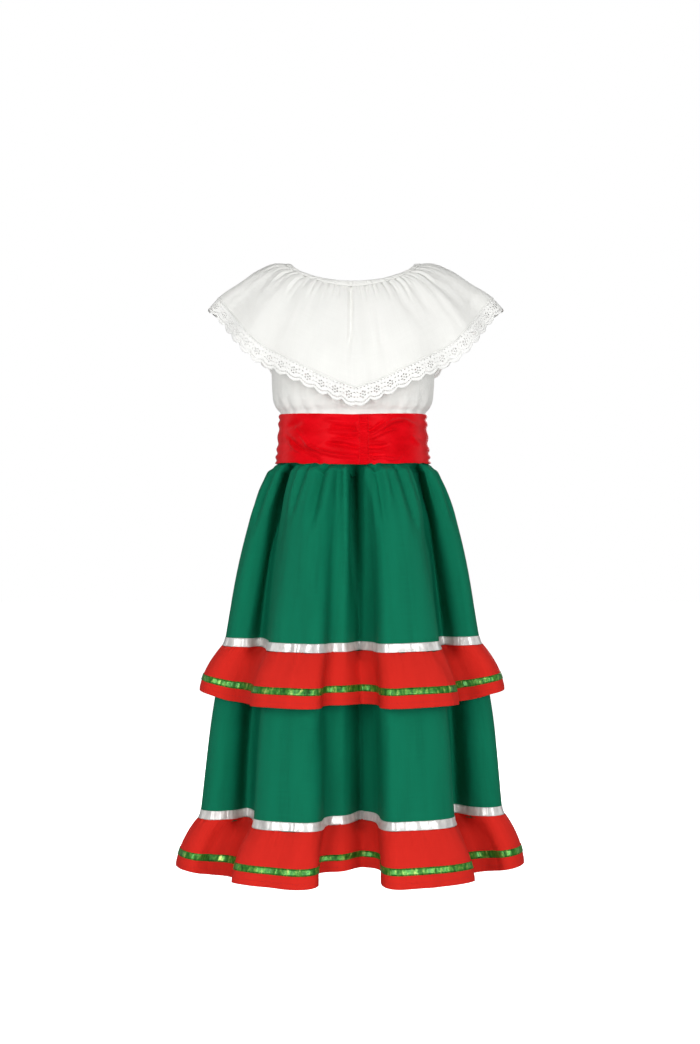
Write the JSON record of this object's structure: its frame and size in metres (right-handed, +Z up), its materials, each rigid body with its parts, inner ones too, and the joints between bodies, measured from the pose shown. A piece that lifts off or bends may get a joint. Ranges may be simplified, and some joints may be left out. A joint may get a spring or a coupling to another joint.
{
  "type": "mexican costume",
  "caption": "Child's folk dress held up by its elastic neck: white bodice with a wide lace-edged collar, red satin sash, and a long green gathered skirt with red flounces and ribbon trim.",
  "frame": {"origin": "middle of the neck opening, level with the elastic casing over the shoulders, where the garment hangs on its wearer", "axes": "+Z up, +X to the wearer's left, and the garment's front faces -Y, so its back faces +Y"},
  "size_m": [0.4438, 0.2777, 0.7732],
  "materials": {
    "white_cotton": "matt plain-weave polycotton",
    "white_lace": "matt embroidered eyelet lace",
    "red_satin": "glossy satin",
    "green_cloth": "soft polyester with a low sheen",
    "red_cloth": "soft polyester with a low sheen",
    "white_ribbon": "silvery satin ribbon",
    "green_ribbon": "glittering satin ribbon"
  },
  "bodies": {
    "root": {"neckband": "white_cotton", "collar_back": "white_cotton", "collar_front": "white_cotton", "lace_back": "white_lace", "lace_front": "white_lace", "bodice_back": "white_cotton", "bodice_front": "white_cotton", "sash_back": "red_satin", "sash_front": "red_satin", "skirt_back": "green_cloth", "skirt_front": "green_cloth", "flounce_upper_back": "red_cloth", "flounce_upper_front": "red_cloth", "flounce_lower_back": "red_cloth", "flounce_lower_front": "red_cloth", "ribbon_white_upper": "white_ribbon", "ribbon_white_lower": "white_ribbon", "ribbon_green_upper": "green_ribbon", "ribbon_green_lower": "green_ribbon"}
  },
  "joints": []
}
